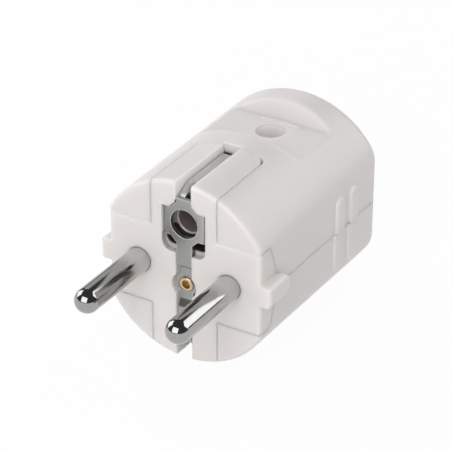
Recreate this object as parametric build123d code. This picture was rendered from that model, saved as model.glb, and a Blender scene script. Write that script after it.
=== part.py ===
from build123d import *
import os

# Two-pin earthed plug, wired by hand: two half shells round a contact carrier.
# Millimetres. The origin is the middle of the front face between the pins. The pins
# point along -Y, the cord comes in at +Y and +Z is up.

# Mating face
pin_spacing = 19.0
pin_diameter = 4.8
pin_reach = 19.0
earth_height = 9.9
earth_bore = 4.9

# Body
body_length = 43.8
body_radius = 18.4
body_flare = 0.35
flat_width = 31.9
front_corner_radius = 2.0
rear_corner_radius = 6.0
front_edge_radius = 0.8
rear_edge_radius = 2.5
wall = 2.0
front_wall = 2.9
rear_wall = 2.2
parting_height = -0.6
parting_groove_width = 0.12
parting_groove_depth = 0.08
cord_hole = 8.6
cord_hole_lead = 0.7

# Fits
clearance = 0.1
close_gap = 0.05
seam_gap = 0.16
seam_shift = 0.11

# Contact carrier: an upright column crossed by a band that ends in two side lugs
column_width = 13.7
column_depth = 16.8
column_corner_radius = 2.0
column_notch_radius = 1.4
band_height = 16.6
band_edge_depth = 3.5
band_depth = 5.8
band_chamfer = 0.5
flange_thickness = 2.0
lug_height = 4.1
lug_reach = 2.05
lug_length = 7.7
lug_end_radius = 1.9
lug_edge_radius = 0.8
upper_arm_foot = 5.4
lower_arm_foot = -7.8

# Slot for the earth springs and pocket for the earth plate
slot_width = 3.4
slot_depth = 4.4
slot_edge_break = 0.25
channel_depth = 1.8
channel_bulge_radius = 2.6
pocket_depth = 1.2
pocket_foot = 3.7
pocket_corner_radius = 1.9
plate_recess_width = 8.7
plate_recess_foot = 4.6
plate_recess_corner_radius = 1.5
plate_recess_depth = 4.2

# Earth plate
sheet = 0.8
plate_depth = 0.3
plate_width = 9.0
plate_shoulder = 2.9
shoulder_run = 1.25
neck_width = 3.2
neck_height = 14.9
tongue_foot = 1.1
tongue_corner_run = 0.8
tongue_corner_rise = 0.45
plate_hole = 5.7
ear_depth = 2.3
ear_bend = 0.75

# Spring sleeve behind the plate
sleeve_wall = 0.4
sleeve_start = 2.3
sleeve_length = 11.3
sleeve_split = 0.8
sleeve_split_length = 9.0
sleeve_lead = 0.12

# Earth springs
strip = 0.6
upper_strip_width = 3.1
lower_strip_width = 2.6
spring_shoulder_drop = 3.5
spring_bow_drop = 2.3
spring_bow_depth = 3.9
spring_crown_drop = 2.0
spring_bend = 1.5
spring_sweep = 5.0
spring_tail = 16.4
spring_tail_bend = 0.6
spring_toe = 12.9
spring_tip_width = 1.1
spring_taper_depth = 9.0
joggle_top = -6.0
joggle_foot = -7.4
joggle_bend = 0.5
front_strip_depth = 0.3
strip_overlap = 1.5
pad_height = -2.85
pad_radius = 2.1

# Eyelet that clamps the lower spring, the carrier and the earth terminal
rivet_diameter = 2.2
rivet_bore = 1.7
rivet_rim = 2.9
rivet_rim_thickness = 0.35
rivet_rim_round = 0.28
rivet_bore_depth = 1.3

# Terminals
pin_neck = 4.4
pin_collar = 6.0
pin_collar_start = 2.0
pin_head_width = 6.4
pin_head_height = 7.0
pin_head_length = 9.0
pin_head_chamfer = 0.4
wire_hole = 2.8
wire_hole_depth = 7.6
terminal_screw_setback = 4.6
terminal_screw_length = 3.0
earth_strap_width = 5.2
earth_strap_thickness = 1.0
earth_strap_foot = -5.4
earth_strap_head = -0.6
earth_block_width = 6.4
earth_block_start = 17.3
earth_block_length = 6.2
earth_block_height = 6.2

# Screws and nut
thread_diameter = 3.0
thread_lead = 0.3
screw_head = 5.2
screw_head_height = 2.0
screw_head_chamfer = 0.4
screw_slot_width = 0.8
screw_slot_depth = 0.9
nut_across_flats = 5.5
nut_thickness = 2.4
nut_recess = 3.0

# Scoop round the housing screw, alike on the top and underneath
scoop_width = 24.0
scoop_front = 23.2
scoop_rear = 35.2
scoop_lean = 28.0
scoop_depth = 3.2
scoop_corner_radius = 3.5
scoop_floor_round = 0.8
scoop_rim_round = 1.0
housing_screw_depth = 30.7
screw_recess = 5.9
screw_seat = 7.0
pillar_diameter = 9.0
scoop_ridge_depth = 34.9
scoop_ridge_width = 8.4
scoop_ridge_thickness = 0.8
scoop_ridge_height = 0.25
scoop_ridge_chamfer = 0.2

# Grip ribs on the flats
rib_start = 27.0
rib_pitch = 5.15
rib_width = 2.8
rib_height = 0.55
rib_round = 0.35
rib_top = 6.8
rib_foot = -9.0
lower_rib_height = 0.4
lower_rib_shift = -0.45

# Cord clamp
clamp_spacing = 17.6
clamp_middle = 37.9
clamp_depth = 4.8
clamp_gap = 0.3
clamp_arch = 4.2
clamp_thickness = 1.8
clamp_foot = -1.5
clamp_width = 23.0
clamp_boss = 6.0
clamp_screw_length = 9.0
saddle_width = 11.5
saddle_depth = 3.0
saddle_height = -2.4

# Ribs inside the half shells
stop_thickness = 1.6
stop_width = 2.4
carrier_stop_offset = 10.6
carrier_stop_foot = 9.4
pin_stop_foot = 2.2
terminal_rest_width = 6.0

# Largest part of a wall that a rounded edge takes
rounding_share = 0.48

slot_floor = body_radius - slot_depth
spring_shoulder = body_radius - spring_shoulder_drop
spring_bow_height = body_radius - spring_bow_drop
spring_crown = body_radius - spring_crown_drop
scoop_floor = body_radius - scoop_depth
nut_seat = nut_recess - scoop_floor
far = 4 * body_radius
near = 0.01


def front_prism(face, start, end):
    """Face drawn on the front (x, z), run from depth start to depth end."""
    return extrude(Plane.XZ.offset(-start) * face, amount=start - end)


def plan_prism(face, low, high):
    """Face drawn from above (x, y), run from height low to height high."""
    return extrude(Plane.XY.offset(low) * face, amount=high - low)


def side_prism(face, half_width):
    """Face drawn from the right (y, z), run equally to both sides of the middle."""
    return extrude(Plane.YZ * face, amount=half_width, both=True)


def outline(*points):
    """Flat face inside a closed line through the points."""
    return make_face(Polyline(*points, close=True))


def block(x, y, z):
    """Box between two limits along each axis."""
    middle = [(low + high) / 2 for low, high in (x, y, z)]
    return Pos(*middle) * Box(x[1] - x[0], y[1] - y[0], z[1] - z[0])


def upright_bar(x, y, diameter, low, high):
    """Round bar along Z between two heights."""
    return Pos(x, y, (low + high) / 2) * Cylinder(diameter / 2, high - low)


def level_bar(x, z, diameter, start, end):
    """Round bar along Y between two depths."""
    return front_prism(Pos(x, z) * Circle(diameter / 2), start, end)


def both_sides(piece):
    """A piece of the right side together with its mirror image on the left."""
    return piece + mirror(piece, Plane.YZ)


def body_section(inset, flare, corner_radius):
    """Round section with two flats, on the front face."""
    section = Circle(body_radius + flare - inset) & Rectangle(flat_width + 2 * (flare - inset), far)
    return fillet(section.vertices(), corner_radius)


def body_form(inset=0.0):
    """Body that widens a little towards the cord, where its flats end in softer corners."""
    front = Plane.XZ * body_section(inset, 0, front_corner_radius)
    rear = Plane.XZ.offset(-body_length) * body_section(inset, body_flare, rear_corner_radius)
    return loft([front, rear], ruled=True)


def body_envelope():
    """Outside of the closed plug with its front and rear edges rounded."""
    form = body_form()
    form = fillet(form.faces().sort_by(Axis.Y)[-1].edges(), rear_edge_radius)
    return fillet(form.faces().sort_by(Axis.Y)[0].edges(), front_edge_radius)


def flat_at(depth):
    """Distance of the flats from the middle at a depth behind the front face."""
    return flat_width / 2 + body_flare * depth / body_length


def band_side(gap=0.0, front_chamfer=0.0):
    """Side view of the carrier's band: deep at the lugs, shallower above and below."""
    high = band_height / 2 + gap
    middle = lug_height / 2 + gap
    edge = band_edge_depth + gap
    deep = band_depth + gap
    upper = [(front_chamfer - gap, high), (edge, high), (deep, middle)]
    if front_chamfer:
        upper.insert(0, (-gap, high - front_chamfer))
    return outline(*upper, (deep, -middle), (edge, -high), (-gap, -high))


def column_plan(gap, corner_radius):
    """Plan of the carrier's column with its rear corners rounded."""
    half_width = column_width / 2 + gap
    rear = column_depth + gap
    plan = outline((-half_width, -gap), (half_width, -gap), (half_width, rear), (-half_width, rear))
    return fillet(plan.vertices().group_by(Axis.Y)[-1], corner_radius)


def plate_outline(spread, foot):
    """Neck, shoulders and sides of the earth plate down to a level foot, on the front face."""
    side = plate_width / 2 + spread
    neck = neck_width / 2 + spread
    shoulder = earth_height + plate_shoulder + spread
    right = [(side, foot), (side, shoulder), (neck + shoulder_run, shoulder)]
    right += [(neck, shoulder + shoulder_run), (neck, neck_height + spread)]
    left = [(-x, z) for x, z in reversed(right)]
    return outline(*right, *left)


def side_lug():
    """Right lug of the carrier, out past the flat. Behind the band it stands clear of the half shell."""
    root = flat_width / 2 - wall
    tip = flat_width / 2 + lug_reach
    clear = flat_at(lug_length) + clearance
    side = outline(
        (0, -lug_height / 2),
        (lug_length, -lug_height / 2),
        (lug_length, lug_height / 2),
        (0, lug_height / 2),
    )
    end_radius = min(lug_end_radius, rounding_share * lug_height)
    side = fillet(side.vertices().group_by(Axis.X)[-1], end_radius)
    lug = Pos(root, 0, 0) * extrude(Plane.YZ * side, amount=tip - root)
    edge_radius = min(lug_edge_radius, rounding_share * (tip - clear))
    lug = fillet(lug.faces().sort_by(Axis.X)[-1].edges(), edge_radius)
    return lug - block((0, clear), (band_depth, far), (-far, far))


def spring_slot():
    """Space of the top slot with its outer edges broken."""
    half_width = slot_width / 2
    edge = body_radius - slot_edge_break
    profile = outline(
        (-half_width, slot_floor),
        (half_width, slot_floor),
        (half_width, edge),
        (half_width + 2 * slot_edge_break, edge + 2 * slot_edge_break),
        (-half_width - 2 * slot_edge_break, edge + 2 * slot_edge_break),
        (-half_width, edge),
    )
    return front_prism(profile, -far, far)


def contact_carrier(envelope):
    """Cross-shaped insulator that holds the pins and the earth contacts."""
    column = plan_prism(column_plan(0, column_corner_radius), -far, far)
    column -= block((-far, far), (band_depth, far), (lower_arm_foot, upper_arm_foot))
    band = side_prism(band_side(front_chamfer=band_chamfer), far)
    flange_start = front_wall + clearance
    flange = body_form(wall + clearance)
    flange &= block((-far, far), (flange_start, flange_start + flange_thickness), (-far, far))
    carrier = (envelope & (column + band)) + flange + both_sides(side_lug())

    carrier -= spring_slot() + mirror(spring_slot(), Plane.XY)
    carrier -= front_prism(Rectangle(slot_width, far), -far, channel_depth)
    carrier -= level_bar(0, pad_height, 2 * channel_bulge_radius, -far, channel_depth)

    pocket = plate_outline(clearance, pocket_foot)
    pocket = fillet(pocket.vertices().group_by(Axis.Y)[0], pocket_corner_radius)
    carrier -= front_prism(pocket, -far, pocket_depth)
    ear = block(
        (plate_width / 2 - sheet - clearance, plate_width / 2 + clearance),
        (-far, plate_depth + ear_depth + clearance),
        (earth_height - plate_shoulder - clearance, earth_height + plate_shoulder + clearance),
    )
    carrier -= both_sides(ear)
    recess_half = plate_recess_width / 2
    recess_top = earth_height + plate_shoulder
    recess = outline(
        (-recess_half, plate_recess_foot),
        (recess_half, plate_recess_foot),
        (recess_half, recess_top),
        (-recess_half, recess_top),
    )
    recess = fillet(recess.vertices().group_by(Axis.Y)[0], plate_recess_corner_radius)
    carrier -= front_prism(recess, -far, plate_recess_depth)
    sleeve_hole = earth_bore + 2 * (sleeve_wall + clearance)
    sleeve_end = sleeve_start + sleeve_length + clearance
    carrier -= level_bar(0, earth_height, sleeve_hole, -far, sleeve_end)

    pin_hole = level_bar(pin_spacing / 2, 0, pin_diameter + 2 * close_gap, -far, far)
    pin_hole += level_bar(pin_spacing / 2, 0, pin_collar + 2 * clearance, pin_collar_start - clearance, far)
    carrier -= both_sides(pin_hole)
    carrier -= level_bar(0, pad_height, rivet_diameter + 2 * clearance, -far, far)
    return carrier


def half_space(side):
    """Everything above (side 1) or below (side -1) the parting plane."""
    return block((-far, far), (-far, far), sorted((parting_height, side * far)))


def dished_body(envelope):
    """Envelope with the upper scoop: walls that lean outwards, rounded floor edge and rear rim."""
    half_width = scoop_width / 2
    largest_round = rounding_share * scoop_depth
    plan = outline(
        (-half_width, scoop_front),
        (half_width, scoop_front),
        (half_width, scoop_rear),
        (-half_width, scoop_rear),
    )
    plan = fillet(plan.vertices().group_by(Axis.Y)[-1], scoop_corner_radius)
    cutter = extrude(Plane.XY.offset(scoop_floor) * plan, amount=scoop_depth + wall, taper=-scoop_lean)
    floor_edges = cutter.faces().sort_by(Axis.Z)[0].edges().sort_by(Axis.Y)[1:]
    body = envelope - fillet(floor_edges, min(scoop_floor_round, largest_round))
    rim = (body.edges() - envelope.edges()).filter_by(lambda edge: edge.center().Y > housing_screw_depth)
    rim = rim.filter_by(lambda edge: not envelope.is_inside((1 + near) * edge.center()))
    return fillet(rim.sort_by(Axis.Z)[-3:], min(scoop_rim_round, largest_round))


def grip_ribs(height, shift):
    """Two upright ribs on each flat with half-round ends above and below."""
    ribs = None
    for start in (rib_start + shift, rib_start + rib_pitch + shift):
        middle = Pos(start + rib_width / 2, (rib_top + rib_foot) / 2)
        side = middle * Rotation(0, 0, 90) * SlotOverall(rib_top - rib_foot, rib_width)
        rib = extrude(Plane.YZ * side, amount=flat_at(start) + height)
        rib = fillet(rib.faces().sort_by(Axis.X)[-1].edges(), rib_round)
        rib = both_sides(rib - block((0, flat_at(start) - wall / 2), (0, far), (-far, far)))
        ribs = rib if ribs is None else ribs + rib
    return ribs


def clamp_room():
    """Space that the inside of the half shells leaves round the cord clamp."""
    half_width = clamp_width / 2 + clamp_gap
    half_depth = clamp_depth / 2 + clamp_gap
    top = clamp_arch + clamp_thickness + clamp_gap
    depths = (clamp_middle - half_depth, clamp_middle + half_depth)
    return block((-half_width, half_width), depths, (-top, top))


def inner_room():
    """Space inside the upper half shell, round its pillar, its stops and the floor of the scoop."""
    room = body_form(wall)
    room &= block((-far, far), (front_wall, body_length - rear_wall), (-far, far))
    floor_block = plan_prism(
        Pos(0, (scoop_front + scoop_rear + wall) / 2)
        * Rectangle(scoop_width + wall, scoop_rear - scoop_front + 3 * wall),
        scoop_floor - wall,
        far,
    )
    inside = floor_block + upright_bar(0, housing_screw_depth, pillar_diameter, -far, far)
    stop_start = front_wall + flange_thickness + 2 * clearance
    inside += both_sides(
        block(
            (carrier_stop_offset - stop_width / 2, carrier_stop_offset + stop_width / 2),
            (stop_start, stop_start + stop_thickness),
            (carrier_stop_foot, far),
        )
    )
    stop_start = band_depth + pin_head_length + clearance
    inside += both_sides(
        block(
            (pin_spacing / 2 - stop_width / 2, pin_spacing / 2 + stop_width / 2),
            (stop_start, stop_start + stop_thickness),
            (pin_stop_foot, far),
        )
    )
    return room - (inside - clamp_room())


def half_shell(outside, side):
    """What both half shells have alike, side 1 above and -1 below. The column leans on their left."""
    shell = outside - inner_room()
    shell -= plan_prism(Pos(seam_shift, 0) * column_plan(seam_gap, column_notch_radius), -far, far)
    shell -= side_prism(band_side(close_gap), far)
    shell -= level_bar(0, 0, cord_hole, clamp_middle, far)
    rim = shell.edges().filter_by(GeomType.CIRCLE)
    rim = rim.filter_by(lambda edge: abs(edge.radius - cord_hole / 2) < near).sort_by(Axis.Y)[-1]
    shell = chamfer(rim, cord_hole_lead)
    if side < 0:
        shell = mirror(shell, Plane.XY)
    half_groove = parting_groove_width / 2
    groove = block((-far, far), (0, far), (parting_height - half_groove, parting_height + half_groove))
    shell -= groove - body_form(parting_groove_depth)
    return shell & half_space(side)


def scoop_ridge():
    """Low straight ridge across the scoop floor behind the screw recess."""
    half_width = scoop_ridge_width / 2
    depths = (scoop_ridge_depth - scoop_ridge_thickness, scoop_ridge_depth)
    heights = (scoop_floor - wall / 2, scoop_floor + scoop_ridge_height)
    ridge = block((-half_width, half_width), depths, heights)
    return chamfer(ridge.edges().filter_by(Axis.X).group_by(Axis.Z)[-1], scoop_ridge_chamfer)


def upper_housing(outside):
    """Upper half shell with the recess of the housing screw."""
    half = half_shell(outside, 1)
    half += scoop_ridge() + (grip_ribs(rib_height, 0) & half_space(1))
    half -= upright_bar(0, housing_screw_depth, screw_recess, screw_seat, far)
    return half - upright_bar(0, housing_screw_depth, thread_diameter + 2 * clearance, -far, far)


def lower_housing(outside):
    """Lower half shell with the nut recess, the cord saddle and the clamp bosses."""
    half = half_shell(outside, -1)
    half += grip_ribs(lower_rib_height, lower_rib_shift) & half_space(-1)

    inside = both_sides(upright_bar(clamp_spacing / 2, clamp_middle, clamp_boss, -far, clamp_foot))
    saddle = block(
        (-saddle_width / 2, saddle_width / 2),
        (clamp_middle - saddle_depth / 2, clamp_middle + saddle_depth / 2),
        (-far, saddle_height),
    )
    inside += saddle - level_bar(0, 0, 2 * clamp_arch, 0, far)
    rest_start = earth_block_start + earth_block_length / 2
    inside += block(
        (-terminal_rest_width / 2, terminal_rest_width / 2),
        (rest_start, rest_start + stop_thickness),
        (-far, earth_strap_foot - clearance),
    )
    half += inside & body_form(wall / 2)

    pilot = upright_bar(
        clamp_spacing / 2,
        clamp_middle,
        thread_diameter + 2 * clearance,
        clamp_foot - clamp_screw_length,
        0,
    )
    half -= both_sides(pilot)
    nut_hole = RegularPolygon((nut_across_flats + 2 * clearance) / 2, 6, major_radius=False)
    half -= plan_prism(Pos(0, housing_screw_depth) * nut_hole, -far, nut_seat)
    return half - upright_bar(0, housing_screw_depth, thread_diameter + 2 * clearance, -far, far)


def contact_pin():
    """Right contact pin: shank with a ball end, neck and collar in the carrier, terminal head."""
    radius = pin_diameter / 2
    ball = radius - pin_reach
    pin = level_bar(0, 0, pin_diameter, ball, 0) + Pos(0, ball, 0) * Sphere(radius)
    pin += level_bar(0, 0, pin_neck, 0, pin_collar_start)
    head_end = band_depth + pin_head_length
    half_width = pin_head_width / 2
    half_height = pin_head_height / 2
    head = block((-half_width, half_width), (band_depth, head_end), (-half_height, half_height))
    head_edges = head.faces().sort_by(Axis.Y)[-1].edges() + head.edges().filter_by(Axis.Y)
    pin += chamfer(head_edges, pin_head_chamfer)
    pin += level_bar(0, 0, pin_collar, pin_collar_start, band_depth)
    pin -= level_bar(0, 0, wire_hole, head_end - wire_hole_depth, far)
    pin -= upright_bar(0, head_end - terminal_screw_setback, thread_diameter + 2 * clearance, 0, far)
    return Pos(pin_spacing / 2, 0, 0) * pin


def slotted_screw(length):
    """Cheese-head screw along -Z, the underside of its head at the origin."""
    head = upright_bar(0, 0, screw_head, 0, screw_head_height)
    head = chamfer(head.edges().group_by(Axis.Z)[-1], screw_head_chamfer)
    slot_low = screw_head_height - screw_slot_depth
    head -= block((-far, far), (-screw_slot_width / 2, screw_slot_width / 2), (slot_low, far))
    shank = upright_bar(0, 0, thread_diameter, -length, 0)
    return head + chamfer(shank.edges().group_by(Axis.Z)[0], thread_lead)


def earth_plate():
    """Pressed plate round the earth hole: neck above, bent ears at the sides, tongue below."""
    ear_foot = earth_height - plate_shoulder
    face = plate_outline(0, ear_foot)
    neck = neck_width / 2
    corner = neck + shoulder_run
    foot = outline(
        (-corner, ear_foot),
        (-neck, ear_foot - shoulder_run),
        (-neck, tongue_foot + tongue_corner_rise),
        (tongue_corner_run - neck, tongue_foot),
        (neck, tongue_foot),
        (neck, ear_foot - shoulder_run),
        (corner, ear_foot),
    )
    plate = front_prism(face + foot, plate_depth, plate_depth + sheet)
    half_width = plate_width / 2
    ear = block(
        (half_width - sheet, half_width),
        (plate_depth, plate_depth + ear_depth),
        (ear_foot, earth_height + plate_shoulder),
    )
    plate += both_sides(ear)
    bends = plate.edges().filter_by(Axis.Z).group_by(Axis.Y)[0]
    bends = bends.filter_by(lambda edge: abs(edge.center().X) > half_width - near)
    plate = fillet(bends, ear_bend)
    return plate - level_bar(0, earth_height, plate_hole, -far, far)


def earth_sleeve():
    """Spring sleeve for the earth pin, split along its top from the mouth."""
    outer = earth_bore + 2 * sleeve_wall
    end = sleeve_start + sleeve_length
    sleeve = level_bar(0, earth_height, outer, sleeve_start, end)
    sleeve -= level_bar(0, earth_height, earth_bore, 0, far)
    mouth = sleeve.faces().sort_by(Axis.Y)[0].inner_wires()[0].edges()
    sleeve = chamfer(mouth, sleeve_lead)
    split = block(
        (-sleeve_split / 2, sleeve_split / 2),
        (0, sleeve_start + sleeve_split_length),
        (earth_height, far),
    )
    return sleeve - split


def strip_along(points, bends, width):
    """Flat strip of spring sheet along a bent line drawn from the right (y, z)."""
    return side_prism(trace(FilletPolyline(*points, radius=bends), strip), width / 2)


def upper_earth_spring():
    """Bowed spring in the top slot. Its toe, tapered on the right, lies against the earth plate."""
    toe_front = plate_depth + sheet
    toe_depth = toe_front + strip / 2
    half_width = upper_strip_width / 2
    taper = outline(
        (spring_tip_width - half_width, toe_front),
        (half_width, toe_front),
        (half_width, spring_taper_depth),
    )
    points = [
        (toe_depth, spring_toe),
        (toe_depth, spring_shoulder),
        (spring_bow_depth, spring_bow_height),
        (spring_tail, spring_crown),
        (spring_tail, slot_floor + clearance),
    ]
    spring = strip_along(points, [spring_bend, spring_sweep, spring_tail_bend], upper_strip_width)
    return spring - plan_prism(taper, 0, far)


def lower_earth_spring():
    """Strip from behind the tongue down the face, round the edge and along the bottom slot."""
    pad_front = plate_depth + sheet
    pad_depth = pad_front + strip / 2
    face_depth = front_strip_depth + strip / 2
    points = [
        (pad_depth, tongue_foot + strip_overlap),
        (pad_depth, joggle_top),
        (face_depth, joggle_foot),
        (face_depth, -spring_shoulder),
        (spring_bow_depth, -spring_bow_height),
        (spring_tail, -spring_crown),
        (spring_tail, -slot_floor - clearance),
    ]
    bends = [joggle_bend, joggle_bend, spring_bend, spring_sweep, spring_tail_bend]
    spring = strip_along(points, bends, lower_strip_width)
    spring += level_bar(0, pad_height, 2 * pad_radius, pad_front, pad_front + strip)
    return spring - level_bar(0, pad_height, rivet_diameter + 2 * clearance, -far, channel_depth)


def earth_rivet():
    """Rivet through the lower spring, the carrier and the earth strap, hollow at the front."""
    front = plate_depth + sheet
    rear = band_depth + earth_strap_thickness
    rim = rivet_rim_thickness
    head = level_bar(0, pad_height, rivet_rim, front - rim, front)
    rivet = fillet(head.edges().sort_by(Axis.Y)[0], rivet_rim_round)
    tail = level_bar(0, pad_height, rivet_rim, rear, rear + rim)
    rivet += chamfer(tail.edges().sort_by(Axis.Y)[-1], rivet_rim_round)
    rivet += level_bar(0, pad_height, rivet_diameter, front, rear)
    return rivet - level_bar(0, pad_height, rivet_bore, -far, front + rivet_bore_depth)


def earth_terminal():
    """Strap behind the carrier with a terminal block at its rear end."""
    half_width = earth_strap_width / 2
    step = earth_strap_thickness
    block_end = earth_block_start + earth_block_length
    strap = side_prism(
        outline(
            (band_depth, earth_strap_foot),
            (block_end, earth_strap_foot),
            (block_end, earth_strap_foot + step),
            (band_depth + step, earth_strap_foot + step),
            (band_depth + step, earth_strap_head),
            (band_depth, earth_strap_head),
        ),
        half_width,
    )
    block_foot = earth_strap_foot + step
    terminal = strap + block(
        (-earth_block_width / 2, earth_block_width / 2),
        (earth_block_start, block_end),
        (block_foot, block_foot + earth_block_height),
    )
    middle = block_foot + earth_block_height / 2
    terminal -= level_bar(0, middle, wire_hole, band_depth + earth_strap_thickness, far)
    hole = thread_diameter + 2 * clearance
    terminal -= upright_bar(0, earth_block_start + earth_block_length / 2, hole, middle, far)
    return terminal - level_bar(0, pad_height, rivet_diameter + 2 * clearance, 0, earth_block_start)


def cord_clamp():
    """Bar with an arch over the cord and a screw hole at each end."""
    arch = Circle(clamp_arch + clamp_thickness)
    feet = Pos(0, clamp_foot + clamp_thickness / 2) * Rectangle(clamp_width, clamp_thickness)
    above = Pos(0, clamp_foot + far / 2) * Rectangle(clamp_width, far)
    profile = ((arch + feet) & above) - Circle(clamp_arch)
    clamp = front_prism(profile, clamp_middle - clamp_depth / 2, clamp_middle + clamp_depth / 2)
    hole = upright_bar(clamp_spacing / 2, clamp_middle, thread_diameter + 2 * clearance, -far, far)
    return clamp - both_sides(hole)


def housing_nut():
    """Hexagon nut in the recess of the lower half shell."""
    flats = RegularPolygon(nut_across_flats / 2, 6, major_radius=False)
    nut = plan_prism(flats, nut_seat - nut_thickness, nut_seat)
    nut -= upright_bar(0, 0, thread_diameter + 2 * clearance, -far, far)
    return Pos(0, housing_screw_depth, 0) * nut


def screw_at(x, y, z, length):
    """Slotted screw with the underside of its head at a point."""
    return Pos(x, y, z) * slotted_screw(length)


envelope = body_envelope()
dished = dished_body(envelope)
right_pin = contact_pin()
pin_screw_depth = band_depth + pin_head_length - terminal_screw_setback
pin_head_top = pin_head_height / 2
right_terminal_screw = screw_at(pin_spacing / 2, pin_screw_depth, pin_head_top, terminal_screw_length)
clamp_top = clamp_foot + clamp_thickness
right_clamp_screw = screw_at(clamp_spacing / 2, clamp_middle, clamp_top, clamp_screw_length)
earth_screw_depth = earth_block_start + earth_block_length / 2
earth_block_top = earth_strap_foot + earth_strap_thickness + earth_block_height

pieces = {
    "upper_housing": upper_housing(dished),
    "lower_housing": lower_housing(dished),
    "contact_carrier": contact_carrier(envelope),
    "right_pin": right_pin,
    "left_pin": mirror(right_pin, Plane.YZ),
    "right_terminal_screw": right_terminal_screw,
    "left_terminal_screw": mirror(right_terminal_screw, Plane.YZ),
    "earth_plate": earth_plate(),
    "earth_sleeve": earth_sleeve(),
    "upper_earth_spring": upper_earth_spring(),
    "lower_earth_spring": lower_earth_spring(),
    "earth_rivet": earth_rivet(),
    "earth_terminal": earth_terminal(),
    "earth_terminal_screw": screw_at(0, earth_screw_depth, earth_block_top, terminal_screw_length),
    "cord_clamp": cord_clamp(),
    "right_clamp_screw": right_clamp_screw,
    "left_clamp_screw": mirror(right_clamp_screw, Plane.YZ),
    "housing_screw": screw_at(0, housing_screw_depth, screw_seat, screw_seat - nut_seat + nut_thickness),
    "housing_nut": housing_nut(),
}

os.makedirs("parts", exist_ok=True)
for name, piece in pieces.items():
    export_step(piece, f"parts/{name}.step")
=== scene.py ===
"""Finishes and studio for a white earthed two-pin plug that is wired by hand."""

import math

import bpy
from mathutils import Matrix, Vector


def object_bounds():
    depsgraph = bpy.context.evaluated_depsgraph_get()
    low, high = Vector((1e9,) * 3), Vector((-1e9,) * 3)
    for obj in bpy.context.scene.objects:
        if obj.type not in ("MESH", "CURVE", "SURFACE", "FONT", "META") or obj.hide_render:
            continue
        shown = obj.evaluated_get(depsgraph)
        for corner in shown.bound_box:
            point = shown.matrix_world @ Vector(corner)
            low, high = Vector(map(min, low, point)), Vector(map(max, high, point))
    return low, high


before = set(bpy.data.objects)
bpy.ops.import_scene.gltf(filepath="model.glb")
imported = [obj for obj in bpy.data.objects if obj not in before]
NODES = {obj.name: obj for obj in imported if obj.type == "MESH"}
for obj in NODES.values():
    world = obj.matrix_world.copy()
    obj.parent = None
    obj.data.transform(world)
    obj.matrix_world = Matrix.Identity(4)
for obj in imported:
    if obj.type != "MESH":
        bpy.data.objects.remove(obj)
CAD_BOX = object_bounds()
MM = 0.001

# Where painted light and shade, and the polish of the pin tips, change along an axis of the part: from where
# to where
SLOT_SIDES = (-1.72 * MM, 1.72 * MM)
SLOT_FLOOR = (13.6 * MM, 14.2 * MM)
NECK_HEIGHT = (13.2 * MM, 14.4 * MM)
BEHIND_NECK = (4.5 * MM, 3.5 * MM)
POCKET_SIDES = (-5 * MM, 5 * MM)
POCKET_HEIGHT = (3.4 * MM, 7 * MM)
POCKET_MOUTH = (0.1 * MM, 0.4 * MM)
POCKET_BACK = (1.3 * MM, 1.7 * MM)
BORE_SIDES = (-2.9 * MM, 2.9 * MM)
BORE_HEIGHT = (7 * MM, 13 * MM)
BORE_MOUTH = (0.5 * MM, 1.1 * MM)
SCREW_SIDES = (-3 * MM, 3 * MM)
SCREW_DEPTH = (27.7 * MM, 33.7 * MM)
SCREW_RIM = (15.1 * MM, 14.6 * MM)
PIN_TIP = (-17 * MM, -15 * MM)
PIN_FOOT = (-7 * MM, -3 * MM)
SHEET_SIDES = (-4 * MM, 4 * MM)
SHEET_HEIGHT = (1 * MM, 12 * MM)

# Bands of painted shade on the sheets: axis, from where to where, softness
PLATE_FOOT = ("Z", 1.1 * MM, 1.2 * MM, 0.1 * MM)
SPRING_RIM = ("X", 1.6 * MM, 3 * MM, 1.6 * MM)
STRIP_JOGGLE = ("Z", -7.4 * MM, -6.2 * MM, 0.25 * MM)

# Reach within which seams and corners look for open sky
SEAM_REACH = 0.6 * MM

# Height of the relief from low to high
MOULD_GRAIN = 0.0035 * MM
TURNING_MARKS = 0.0006 * MM
ROLLING_STREAKS = 0.0004 * MM
SMALL_DENTS = 0.002 * MM

PLASTIC_IOR = 1.5
METAL_EDGE_ROUND = 0.1 * MM
SHEET_EDGE_ROUND = 0.2 * MM
# Width of the painted highlight on the sheet edges
SHEET_EDGE_HIGHLIGHT = 0.35 * MM

FLOOR_REACH = 3.0
FLOOR_WHITE = 0.96

bl_info = {
    "name": "Earthed plug finishes",
    "version": (1, 0, 0),
    "blender": (4, 5, 0),
    "location": "View3D > Sidebar > Plug",
    "description": "Gives a two-pin earthed plug its moulded plastic and metal finishes and a studio",
    "category": "Material",
}


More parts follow.
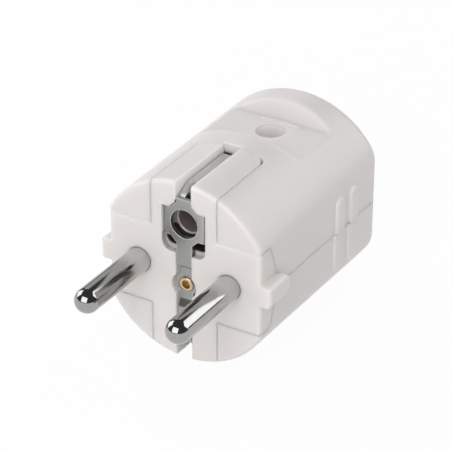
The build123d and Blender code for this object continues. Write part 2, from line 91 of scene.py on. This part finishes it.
class PlugPlastic(bpy.types.PropertyGroup):
    """Moulded plastic of the half shells, the contact carrier and the cord clamp."""

    shell_colour: bpy.props.FloatVectorProperty(
        name="Shell", description="Colour of the two half shells",
        subtype="COLOR", size=3, min=0, max=1, default=(0.745, 0.715, 0.705))
    carrier_colour: bpy.props.FloatVectorProperty(
        name="Carrier", description="Colour of the contact carrier at the front",
        subtype="COLOR", size=3, min=0, max=1, default=(0.755, 0.725, 0.705))
    clamp_colour: bpy.props.FloatVectorProperty(
        name="Cord clamp", description="Colour of the clamp bar inside",
        subtype="COLOR", size=3, min=0, max=1, default=(0.66, 0.64, 0.62))
    # Painted light: a lighter colour in the seams and corners, where shade falls
    seam_painted_light: bpy.props.FloatVectorProperty(
        name="Seams", description="Pale plastic in the seams and the corners",
        subtype="COLOR", size=3, min=0, max=1, default=(0.98, 0.97, 0.965))
    sheen: bpy.props.FloatProperty(
        name="Roughness", description="Mean roughness of the moulded surface",
        subtype="FACTOR", min=0, max=1, default=0.36)
    grain: bpy.props.FloatProperty(
        name="Grain", description="Distance between the bumps of the mould's fine grain",
        unit="LENGTH", min=0.00005, max=0.01, default=0.0004)
    glow_depth: bpy.props.FloatProperty(
        name="Light depth", description="How far light spreads inside the milky plastic",
        unit="LENGTH", min=0, max=0.01, default=0.0015)
    edge_round: bpy.props.FloatProperty(
        name="Edge rounding", description="Radius of the soft edges that moulding leaves",
        unit="LENGTH", min=0, max=0.001, default=0.00018)


class PlugMetal(bpy.types.PropertyGroup):
    """Plated and bare metal of the contacts and the screws."""

    pin_colour: bpy.props.FloatVectorProperty(
        name="Pins", description="Bright plating of the contact pins",
        subtype="COLOR", size=3, min=0, max=1, default=(0.385, 0.383, 0.38))
    sheet_colour: bpy.props.FloatVectorProperty(
        name="Earth plate", description="Plated sheet of the earth plate",
        subtype="COLOR", size=3, min=0, max=1, default=(0.37, 0.368, 0.365))
    # Painted light: a lighter copy of the sheet colour of the springs, for the spring in the top slot
    upper_spring_lit_colour: bpy.props.FloatVectorProperty(
        name="Upper spring", description="Satin sheet of the earth spring in the top slot",
        subtype="COLOR", size=3, min=0, max=1, default=(0.72, 0.715, 0.71))
    strip_colour: bpy.props.FloatVectorProperty(
        name="Lower spring", description="Satin sheet of the earth spring below the plate",
        subtype="COLOR", size=3, min=0, max=1, default=(0.39, 0.387, 0.384))
    sleeve_colour: bpy.props.FloatVectorProperty(
        name="Sleeve", description="Spring bronze of the sleeve behind the earth hole",
        subtype="COLOR", size=3, min=0, max=1, default=(0.50, 0.42, 0.40))
    brass_colour: bpy.props.FloatVectorProperty(
        name="Brass", description="Bare brass of the eyelet and the earth terminal",
        subtype="COLOR", size=3, min=0, max=1, default=(0.66, 0.51, 0.33))
    screw_colour: bpy.props.FloatVectorProperty(
        name="Screws", description="Zinc plating of the screws and the nut",
        subtype="COLOR", size=3, min=0, max=1, default=(0.5, 0.5, 0.49))
    # Painted highlight: a bright colour on the edges of the sheets
    edge_highlight_colour: bpy.props.FloatVectorProperty(
        name="Sheet edges", description="Bright worn edges of the earth plate, the springs and the sleeve",
        subtype="COLOR", size=3, min=0, max=1, default=(0.9, 0.9, 0.89))
    turning_pitch: bpy.props.FloatProperty(
        name="Turning marks", description="Distance between the turning marks on the pins",
        unit="LENGTH", min=0.00002, max=0.002, default=0.00012)


class PlugStudio(bpy.types.PropertyGroup):
    """Camera, lamps and floor."""

    azimuth: bpy.props.FloatProperty(
        name="Azimuth", description="Turn of the camera from the pin direction to the right",
        subtype="ANGLE", default=math.radians(31.407))
    elevation: bpy.props.FloatProperty(
        name="Elevation", description="Height of the camera above the horizon",
        subtype="ANGLE", default=math.radians(30.357))
    distance: bpy.props.FloatProperty(
        name="Distance", description="Camera to the point it looks at",
        unit="LENGTH", default=0.4)
    lens: bpy.props.FloatProperty(
        name="Lens", description="Focal length for a sensor 36 mm wide",
        unit="CAMERA", default=172.3)
    frame_shift: bpy.props.FloatVectorProperty(
        name="Frame shift", description="Shift of the picture frame, in frame widths",
        size=2, default=(-0.0023, 0.0243))
    front_lamp: bpy.props.FloatProperty(
        name="Front lamp", description="Power of the softbox above the front",
        unit="POWER", min=0, default=0.78)
    left_lamp: bpy.props.FloatProperty(
        name="Left lamp", description="Power of the softbox behind on the left",
        unit="POWER", min=0, default=0.95)
    fill_lamp: bpy.props.FloatProperty(
        name="Fill lamp", description="Power of the wide, low fill light in front",
        unit="POWER", min=0, default=1.3)
    ambient: bpy.props.FloatProperty(
        name="Ambient", description="Level of the even light from all round",
        min=0, max=2, default=0.67)
    floor_colour: bpy.props.FloatVectorProperty(
        name="Floor", description="Colour of the floor",
        subtype="COLOR", size=3, min=0, max=1, default=(0.8, 0.8, 0.8))


class Finish:
    """Node tree of one surface, with short calls for what the finishes share."""

    def __init__(self, name):
        self.material = bpy.data.materials.new(name)
        self.material.use_nodes = True
        self.tree = self.material.node_tree
        self.surface = self.tree.nodes["Principled BSDF"]
        self.place = self.add("ShaderNodeTexCoord").outputs["Object"]

    def add(self, kind, **settings):
        node = self.tree.nodes.new(kind)
        for key, value in settings.items():
            setattr(node, key, value)
        return node

    def link(self, output, socket):
        self.tree.links.new(output, socket)

    def stretched(self, scale):
        """Object coordinates with a scale of their own along each axis."""
        mapping = self.add("ShaderNodeMapping")
        mapping.inputs["Scale"].default_value = scale
        self.link(self.place, mapping.inputs["Vector"])
        return mapping.outputs["Vector"]

    def noise(self, scale, detail=3.0, place=None):
        """Noise between 0 and 1, with scale in bumps per metre."""
        node = self.add("ShaderNodeTexNoise")
        node.inputs["Scale"].default_value = scale
        node.inputs["Detail"].default_value = detail
        self.link(place or self.place, node.inputs["Vector"])
        return node.outputs["Fac"]

    def spread(self, value, low, high, start=0.3, end=0.7):
        """A value from start to end, by default the middle of a noise, mapped to low and high."""
        node = self.add("ShaderNodeMapRange")
        node.inputs["From Min"].default_value = start
        node.inputs["From Max"].default_value = end
        node.inputs["To Min"].default_value = low
        node.inputs["To Max"].default_value = high
        self.link(value, node.inputs["Value"])
        return node.outputs["Result"]

    def blend(self, amount, first, second):
        """Colour between two colours or colour outputs."""
        node = self.add("ShaderNodeMix", data_type="RGBA")
        self.link(amount, node.inputs["Factor"])
        for socket, colour in ((node.inputs[6], first), (node.inputs[7], second)):
            if isinstance(colour, bpy.types.NodeSocket):
                self.link(colour, socket)
            else:
                socket.default_value = (*colour, 1)
        return node.outputs[2]

    def crevice(self, reach, shut, open_):
        """0 on open surfaces, 1 in seams and corners that see no more sky than the share shut."""
        node = self.add("ShaderNodeAmbientOcclusion", samples=8)
        node.inputs["Distance"].default_value = reach
        return self.spread(node.outputs["AO"], 1, 0, shut, open_)

    def along(self, axis, start, end):
        """0 at one place along an axis of the part, 1 at another, in metres."""
        axes = self.add("ShaderNodeSeparateXYZ")
        self.link(self.place, axes.inputs[0])
        return self.spread(axes.outputs[axis], 0, 1, start, end)

    def band(self, axis, low, high, soft):
        """1 between two places along an axis of the part, falling to 0 outside over the length soft."""
        return self.product(self.along(axis, low - soft, low), self.along(axis, high + soft, high))

    def product(self, *values):
        """Product of two or more values."""
        result = values[0]
        for value in values[1:]:
            node = self.add("ShaderNodeMath", operation="MULTIPLY")
            self.link(result, node.inputs[0])
            self.link(value, node.inputs[1])
            result = node.outputs[0]
        return result

    def soft_edges(self, radius):
        node = self.add("ShaderNodeBevel", samples=4)
        node.inputs["Radius"].default_value = radius
        return node.outputs["Normal"]

    def edge_highlight_mask(self, radius):
        """1 on sharp edges, 0 on flat faces."""
        dot = self.add("ShaderNodeVectorMath", operation="DOT_PRODUCT")
        self.link(self.soft_edges(radius), dot.inputs[0])
        self.link(self.add("ShaderNodeNewGeometry").outputs["Normal"], dot.inputs[1])
        return self.spread(dot.outputs["Value"], 0, 1, 0.97, 0.8)

    def bump(self, height, depth, normal=None):
        """Relief of a height value between 0 and 1, depth metres from low to high."""
        node = self.add("ShaderNodeBump")
        node.inputs["Strength"].default_value = 1.0
        node.inputs["Distance"].default_value = depth
        self.link(height, node.inputs["Height"])
        if normal is not None:
            self.link(normal, node.inputs["Normal"])
        return node.outputs["Normal"]

    def put_on(self, *names):
        for name in names:
            for slot in NODES[name].material_slots:
                slot.material = self.material


def shade(colour, factor):
    return tuple(channel * factor for channel in colour)


def carrier_painted_light_and_shade(finish, tone, colour, painted_light):
    """Painted light on the slot walls; painted shade: near black behind the neck of the earth plate, grey in
    the pocket, near black deeper in it, dark in the bore.
    """
    slot = finish.band("X", *SLOT_SIDES, 0.05 * MM)
    # Painted light on the walls of the slot, above its floor
    tone = finish.blend(finish.product(slot, finish.along("Z", *SLOT_FLOOR)), tone, painted_light)
    # Painted shade: near black in the gap behind the neck of the earth plate
    behind_neck = finish.product(
        slot,
        finish.band("Z", *NECK_HEIGHT, 0.2 * MM),
        finish.along("Y", *BEHIND_NECK))
    tone = finish.blend(behind_neck, tone, shade(colour, 0.05))
    # Painted shade in the pocket below the shoulders of the earth plate: grey, and near black deeper in
    recess = finish.product(
        finish.band("X", *POCKET_SIDES, 0.2 * MM),
        finish.band("Z", *POCKET_HEIGHT, 0.3 * MM))
    pocket = finish.product(recess, finish.along("Y", *POCKET_MOUTH))
    tone = finish.blend(pocket, tone, shade(colour, 0.7))
    deep = finish.product(recess, finish.along("Y", *POCKET_BACK))
    tone = finish.blend(deep, tone, shade(colour, 0.06))
    # Painted shade: dark in the bore behind the earth hole
    bore = finish.product(
        finish.band("X", *BORE_SIDES, 0.1 * MM),
        finish.band("Z", *BORE_HEIGHT, 0.1 * MM),
        finish.along("Y", *BORE_MOUTH))
    return finish.blend(bore, tone, shade(colour, 0.2))


def shell_painted_light(finish, tone, painted_light):
    """Painted light in the screw recess of the upper half shell."""
    recess = finish.product(
        finish.band("X", *SCREW_SIDES, 0.1 * MM),
        finish.band("Y", *SCREW_DEPTH, 0.1 * MM),
        finish.along("Z", *SCREW_RIM))
    return finish.blend(recess, tone, painted_light)


def moulded_plastic(name, colour, plastic, front=False):
    """White milky plastic: faint cloudiness, fine mould grain, soft edges, painted light in the seams and
    corners.

    The front piece gets the painted light and shade of the carrier, the others the painted light of the half
    shells."""
    finish = Finish(name)
    clouds = finish.noise(90, 4)
    # Painted light: a lighter copy of the colour, for the slot of the carrier and the screw recess of the
    # shell
    painted_light = shade(colour, 1.25)
    body = finish.blend(finish.spread(clouds, 0, 1), shade(colour, 0.985), colour)
    # Painted light in the seams and corners, where shade falls
    tone = finish.blend(finish.crevice(SEAM_REACH, 0.3, 0.85), body, tuple(plastic.seam_painted_light))
    if front:
        tone = carrier_painted_light_and_shade(finish, tone, colour, painted_light)
    else:
        tone = shell_painted_light(finish, tone, painted_light)
    finish.link(tone, finish.surface.inputs["Base Color"])
    finish.surface.inputs["Subsurface Weight"].default_value = 1
    finish.surface.inputs["Subsurface Radius"].default_value = (1, 1, 1)
    finish.surface.inputs["Subsurface Scale"].default_value = plastic.glow_depth
    patches = finish.noise(260, 3)
    roughness = finish.spread(patches, plastic.sheen - 0.04, plastic.sheen + 0.05)
    finish.link(roughness, finish.surface.inputs["Roughness"])
    grain = finish.noise(1 / plastic.grain, 2)
    edges = finish.soft_edges(plastic.edge_round)
    finish.link(finish.bump(grain, MOULD_GRAIN, edges), finish.surface.inputs["Normal"])
    finish.surface.inputs["IOR"].default_value = PLASTIC_IOR
    return finish


def plated_pin(metal):
    """Bright plating over turned metal: fine rings, long scuffs, a polished tip, and painted light that makes
    the foot paler.
    """
    finish = Finish("bright_pin_plating")
    colour = tuple(metal.pin_colour)
    haze = finish.noise(350, 4)
    hazy = finish.blend(finish.spread(haze, 0, 1), shade(colour, 0.93), colour)
    # Painted light: the foot of the pin, next to the carrier, is paler
    tone = finish.blend(finish.along("Y", *PIN_FOOT), hazy, shade(colour, 1.5))
    finish.link(tone, finish.surface.inputs["Base Color"])
    finish.surface.inputs["Metallic"].default_value = 1
    scuffs = finish.noise(1, 4, finish.stretched((900, 60, 900)))
    wear = finish.product(finish.spread(scuffs, 0.6, 1.0), finish.along("Y", *PIN_TIP))
    finish.link(finish.spread(wear, 0.05, 0.17, 0, 1), finish.surface.inputs["Roughness"])
    rings = finish.noise(1, 2, finish.stretched((40, 1 / metal.turning_pitch, 40)))
    edges = finish.soft_edges(METAL_EDGE_ROUND)
    finish.link(finish.bump(rings, TURNING_MARKS, edges), finish.surface.inputs["Normal"])
    return finish


def pressed_sheet(name, colour, edge_highlight_colour, roughness, stretch, shade_bands=(), metallic=1.0):
    """Rolled sheet: faint streaks, painted light and shade that make it paler at the top right, painted shade
    in the corners, painted highlights on the edges.

    Stretch is the number of streaks per metre along each axis. Each band given is a band of painted shade on
    the sheet."""
    finish = Finish(name)
    streaks = finish.noise(1, 3, finish.stretched(stretch))
    rolled = finish.blend(finish.spread(streaks, 0, 1), shade(colour, 0.96), shade(colour, 1.03))
    # Painted light and shade: darker to the left, lighter to the right, shown through the streaks
    across = finish.blend(finish.along("X", *SHEET_SIDES), shade(colour, 0.85), shade(colour, 1.4))
    polished = finish.blend(finish.spread(streaks, 0.7, 1.0), rolled, across)
    # Painted shade: darker towards the bottom
    tone = finish.blend(finish.along("Z", *SHEET_HEIGHT), shade(colour, 0.9), polished)
    # Painted shade in the corners and seams of the sheet
    tone = finish.blend(finish.crevice(SEAM_REACH, 0.45, 0.85), tone, shade(colour, 0.4))
    # Painted highlight on the edges of the sheet, with less metal there
    highlit = finish.edge_highlight_mask(SHEET_EDGE_HIGHLIGHT)
    tone = finish.blend(highlit, tone, edge_highlight_colour)
    # Bands of painted shade
    for shade_band in shade_bands:
        tone = finish.blend(finish.band(*shade_band), tone, shade(colour, 0.25))
    finish.link(tone, finish.surface.inputs["Base Color"])
    finish.link(finish.spread(highlit, metallic, metallic / 2, 0, 1), finish.surface.inputs["Metallic"])
    finish.link(finish.spread(streaks, roughness - 0.03, roughness + 0.04), finish.surface.inputs["Roughness"])
    edges = finish.soft_edges(SHEET_EDGE_ROUND)
    finish.link(finish.bump(streaks, ROLLING_STREAKS, edges), finish.surface.inputs["Normal"])
    return finish


def bare_metal(name, colour, roughness):
    """Turned or rolled metal with a mottled tone and small dents."""
    finish = Finish(name)
    mottle = finish.noise(700, 4)
    tone = finish.blend(finish.spread(mottle, 0, 1), shade(colour, 0.82), colour)
    finish.link(tone, finish.surface.inputs["Base Color"])
    finish.surface.inputs["Metallic"].default_value = 1
    finish.link(finish.spread(mottle, roughness + 0.05, roughness - 0.05), finish.surface.inputs["Roughness"])
    edges = finish.soft_edges(METAL_EDGE_ROUND)
    finish.link(finish.bump(finish.noise(2500, 3), SMALL_DENTS, edges), finish.surface.inputs["Normal"])
    return finish


class PLUG_OT_half_shells(bpy.types.Operator):
    """Put the moulded plastic on the two half shells"""

    bl_idname = "plug.half_shells"
    bl_label = "Half shells"

    def execute(self, context):
        plastic = context.scene.plug_plastic
        shell = moulded_plastic("shell_plastic", tuple(plastic.shell_colour), plastic)
        shell.put_on("upper_housing", "lower_housing")
        return {"FINISHED"}


class PLUG_OT_contact_carrier(bpy.types.Operator):
    """Put the moulded plastic on the contact carrier"""

    bl_idname = "plug.contact_carrier"
    bl_label = "Contact carrier"

    def execute(self, context):
        plastic = context.scene.plug_plastic
        carrier = moulded_plastic("carrier_plastic", tuple(plastic.carrier_colour), plastic, front=True)
        carrier.put_on("contact_carrier")
        return {"FINISHED"}


class PLUG_OT_contact_pins(bpy.types.Operator):
    """Plate the contact pins"""

    bl_idname = "plug.contact_pins"
    bl_label = "Contact pins"

    def execute(self, context):
        plated_pin(context.scene.plug_metal).put_on("left_pin", "right_pin")
        return {"FINISHED"}


class PLUG_OT_earth_contacts(bpy.types.Operator):
    """Finish the earth plate, its sleeve, the springs and the eyelet"""

    bl_idname = "plug.earth_contacts"
    bl_label = "Earth contacts"

    def execute(self, context):
        metal = context.scene.plug_metal
        edge = tuple(metal.edge_highlight_colour)
        plate = pressed_sheet(
            "earth_plate_sheet", tuple(metal.sheet_colour), edge, 0.3, (2200, 2200, 120), [PLATE_FOOT])
        plate.put_on("earth_plate")
        # The upper spring gets the painted-light copy of the sheet colour
        spring = pressed_sheet(
            "upper_spring_sheet", tuple(metal.upper_spring_lit_colour), edge, 0.35, (2200, 120, 260), [SPRING_RIM])
        spring.put_on("upper_earth_spring")
        strip = pressed_sheet(
            "lower_spring_sheet", tuple(metal.strip_colour), edge, 0.35, (2200, 260, 120), [STRIP_JOGGLE])
        strip.put_on("lower_earth_spring")
        sleeve = pressed_sheet(
            "sleeve_bronze", tuple(metal.sleeve_colour), edge, 0.3, (700, 90, 700), metallic=0.6)
        sleeve.put_on("earth_sleeve")
        bare_metal("bare_brass", tuple(metal.brass_colour), 0.22).put_on("earth_rivet", "earth_terminal")
        return {"FINISHED"}


class PLUG_OT_inner_pieces(bpy.types.Operator):
    """Finish the cord clamp, the screws and the nut inside"""

    bl_idname = "plug.inner_pieces"
    bl_label = "Inner pieces"

    def execute(self, context):
        plastic = context.scene.plug_plastic
        moulded_plastic("clamp_plastic", tuple(plastic.clamp_colour), plastic).put_on("cord_clamp")
        zinc = bare_metal("zinc_screw", tuple(context.scene.plug_metal.screw_colour), 0.3)
        zinc.put_on("left_terminal_screw", "right_terminal_screw", "earth_terminal_screw", "left_clamp_screw")
        zinc.put_on("right_clamp_screw", "housing_screw", "housing_nut")
        return {"FINISHED"}


def seen_ray(tree):
    """1 for the camera and for what metal or glass shows of the background, else 0."""
    path = tree.nodes.new("ShaderNodeLightPath")
    either = tree.nodes.new("ShaderNodeMath")
    either.operation = "MAXIMUM"
    tree.links.new(path.outputs["Is Camera Ray"], either.inputs[0])
    tree.links.new(path.outputs["Is Glossy Ray"], either.inputs[1])
    any_of = tree.nodes.new("ShaderNodeMath")
    any_of.operation = "MAXIMUM"
    tree.links.new(either.outputs[0], any_of.inputs[0])
    tree.links.new(path.outputs["Is Transmission Ray"], any_of.inputs[1])
    return any_of.outputs[0]


def white_world(scene, level):
    """Even light from all round, with a plain white background."""
    world = bpy.data.worlds.new("white_studio")
    world.use_nodes = True
    tree = world.node_tree
    light = tree.nodes["Background"]
    light.inputs["Color"].default_value = (1, 1, 1, 1)
    light.inputs["Strength"].default_value = level
    white = tree.nodes.new("ShaderNodeBackground")
    white.inputs["Color"].default_value = (1, 1, 1, 1)
    mix = tree.nodes.new("ShaderNodeMixShader")
    tree.links.new(seen_ray(tree), mix.inputs[0])
    tree.links.new(light.outputs[0], mix.inputs[1])
    tree.links.new(white.outputs[0], mix.inputs[2])
    tree.links.new(mix.outputs[0], tree.nodes["World Output"].inputs["Surface"])
    scene.world = world


def stage_mesh(name, corners, faces, material):
    mesh = bpy.data.meshes.new(name)
    mesh.from_pydata(corners, [], faces)
    mesh.materials.append(material)
    sheet = bpy.data.objects.new(name, mesh)
    bpy.context.scene.collection.objects.link(sheet)
    return sheet


def stage_sheet(name, corners, material):
    return stage_mesh(name, corners, [tuple(range(len(corners)))], material)


def pale_floor(height, colour):
    """Pale floor that keeps the soft shadow of the plug and runs out into the white background."""
    material = bpy.data.materials.new("pale_floor")
    material.use_nodes = True
    tree = material.node_tree
    lit = tree.nodes["Principled BSDF"]
    lit.inputs["Base Color"].default_value = (*colour, 1)
    lit.inputs["Roughness"].default_value = 0.9
    glow = tree.nodes.new("ShaderNodeEmission")
    glow.inputs["Color"].default_value = (1, 1, 1, 1)
    glow.inputs["Strength"].default_value = 1.0
    mix = tree.nodes.new("ShaderNodeMixShader")
    factor = tree.nodes.new("ShaderNodeMath")
    factor.operation = "MULTIPLY"
    factor.inputs[1].default_value = FLOOR_WHITE
    tree.links.new(seen_ray(tree), factor.inputs[0])
    tree.links.new(factor.outputs[0], mix.inputs[0])
    tree.links.new(lit.outputs[0], mix.inputs[1])
    tree.links.new(glow.outputs[0], mix.inputs[2])
    tree.links.new(mix.outputs[0], tree.nodes["Material Output"].inputs["Surface"])
    sides = ((-1, -1), (1, -1), (1, 1), (-1, 1))
    corners = [(x * FLOOR_REACH, y * FLOOR_REACH, height) for x, y in sides]
    stage_sheet("floor", corners, material)


def glow_material(name, colour, strength):
    material = bpy.data.materials.new(name)
    material.use_nodes = True
    tree = material.node_tree
    tree.nodes.remove(tree.nodes["Principled BSDF"])
    glow = tree.nodes.new("ShaderNodeEmission")
    glow.inputs["Color"].default_value = (*colour, 1)
    glow.inputs["Strength"].default_value = strength
    tree.links.new(glow.outputs[0], tree.nodes["Material Output"].inputs["Surface"])
    return material


def only_in_reflections(sheet):
    """Keep a stage sheet out of the picture and off the lighting, so that only polish shows it."""
    sheet.visible_camera = False
    sheet.visible_diffuse = False
    sheet.visible_transmission = False
    sheet.visible_shadow = False


def card(name, direction, distance, size, material, target):
    """Flat card that faces the plug from a direction, seen only in polished surfaces."""
    away = Vector(direction).normalized()
    right = away.cross(Vector((0, 0, 1))).normalized() * size[0] / 2
    up = right.cross(away).normalized() * size[1] / 2
    middle = target + away * distance
    low, high = middle - up, middle + up
    only_in_reflections(stage_sheet(name, [low - right, low + right, high + right, high - right], material))


def dark_canopy(height):
    """Dark room above the white horizon, seen only in polished surfaces."""
    rings, spokes, radius, opening = 10, 32, 1.5, math.radians(5)
    corners = []
    for ring in range(rings + 1):
        rise = opening + (math.pi / 2 - opening) * ring / rings
        for spoke in range(spokes):
            turn = 2 * math.pi * spoke / spokes
            across = radius * math.cos(rise)
            rim = (across * math.cos(turn), across * math.sin(turn))
            corners.append((*rim, height + radius * math.sin(rise)))
    faces = []
    for ring in range(rings):
        for spoke in range(spokes):
            after = (spoke + 1) % spokes
            low, high = ring * spokes, (ring + 1) * spokes
            faces.append((low + spoke, low + after, high + after, high + spoke))
    dark = glow_material("dark_canopy", (0.07, 0.07, 0.07), 1)
    only_in_reflections(stage_mesh("dark_canopy", corners, faces, dark))


def softbox(name, direction, distance, size, power, target):
    """Soft lamp that faces the plug from a direction."""
    lamp = bpy.data.lights.new(name, "AREA")
    lamp.shape = "RECTANGLE"
    lamp.size, lamp.size_y = size
    lamp.energy = power
    box = bpy.data.objects.new(name, lamp)
    away = Vector(direction).normalized()
    box.location = target + away * distance
    box.rotation_euler = away.to_track_quat("Z", "Y").to_euler()
    box.visible_glossy = False
    bpy.context.scene.collection.objects.link(box)


class PLUG_OT_stage(bpy.types.Operator):
    """Set up the floor, the lamps and the camera"""

    bl_idname = "plug.stage"
    bl_label = "Stage"

    def execute(self, context):
        scene = context.scene
        studio = scene.plug_studio
        scene.view_settings.view_transform = "Standard"
        low, _ = CAD_BOX
        white_world(scene, studio.ambient)
        pale_floor(low[2], tuple(studio.floor_colour))
        target = Vector((0, 15 * MM, 0))
        softbox("front_softbox", (0.15, -0.77, 0.62), 0.55, (0.26, 0.26), studio.front_lamp, target)
        softbox("left_softbox", (-0.82, 0.39, 0.4), 0.55, (0.35, 0.35), studio.left_lamp, target)
        softbox("fill_light", (0.1, -0.98, 0.12), 0.7, (0.9, 0.3), studio.fill_lamp, target)
        dark_canopy(low[2])
        bright = glow_material("bright_card", (1, 1, 1), 2.5)
        card("front_card", (0.01, -0.87, 0.495), 0.5, (0.44, 0.38), bright, target)
        card("right_card", (0.517, 0.683, 0.515), 0.5, (0.42, 0.325), bright, target)
        card("left_card", (-0.88, -0.02, 0.47), 0.5, (0.35, 0.34), bright, target)
        dim = glow_material("dim_card", (1, 1, 1), 0.7)
        card("back_card", (-0.5, 0.74, 0.45), 0.5, (0.25, 0.25), dim, target)
        turn, rise = studio.azimuth, studio.elevation
        level = math.cos(rise)
        away = Vector((math.sin(turn) * level, -math.cos(turn) * level, math.sin(rise)))
        lens = bpy.data.cameras.new("camera")
        lens.sensor_width = 36
        lens.lens = studio.lens
        lens.shift_x, lens.shift_y = studio.frame_shift
        camera = bpy.data.objects.new("camera", lens)
        camera.location = target + away * studio.distance
        camera.rotation_euler = away.to_track_quat("Z", "Y").to_euler()
        scene.collection.objects.link(camera)
        scene.camera = camera
        return {"FINISHED"}


class PLUG_PT_panel(bpy.types.Panel):
    """Lists the finishes of the plug"""

    bl_idname = "PLUG_PT_panel"
    bl_label = "Earthed plug"
    bl_space_type = "VIEW_3D"
    bl_region_type = "UI"
    bl_category = "Plug"

    def draw(self, context):
        for group in (context.scene.plug_plastic, context.scene.plug_metal, context.scene.plug_studio):
            for key in group.__annotations__:
                self.layout.prop(group, key)
        for operator in OPERATORS:
            self.layout.operator(operator.bl_idname)


OPERATORS = (
    PLUG_OT_half_shells,
    PLUG_OT_contact_carrier,
    PLUG_OT_contact_pins,
    PLUG_OT_earth_contacts,
    PLUG_OT_inner_pieces,
    PLUG_OT_stage,
)
CLASSES = (PlugPlastic, PlugMetal, PlugStudio, *OPERATORS, PLUG_PT_panel)


def register():
    for cls in CLASSES:
        bpy.utils.register_class(cls)
    bpy.types.Scene.plug_plastic = bpy.props.PointerProperty(type=PlugPlastic)
    bpy.types.Scene.plug_metal = bpy.props.PointerProperty(type=PlugMetal)
    bpy.types.Scene.plug_studio = bpy.props.PointerProperty(type=PlugStudio)


def unregister():
    del bpy.types.Scene.plug_studio
    del bpy.types.Scene.plug_metal
    del bpy.types.Scene.plug_plastic
    for cls in reversed(CLASSES):
        bpy.utils.unregister_class(cls)


def main():
    register()
    bpy.ops.plug.half_shells()
    bpy.ops.plug.contact_carrier()
    bpy.ops.plug.contact_pins()
    bpy.ops.plug.earth_contacts()
    bpy.ops.plug.inner_pieces()
    bpy.ops.plug.stage()


if __name__ == "__main__":
    main()
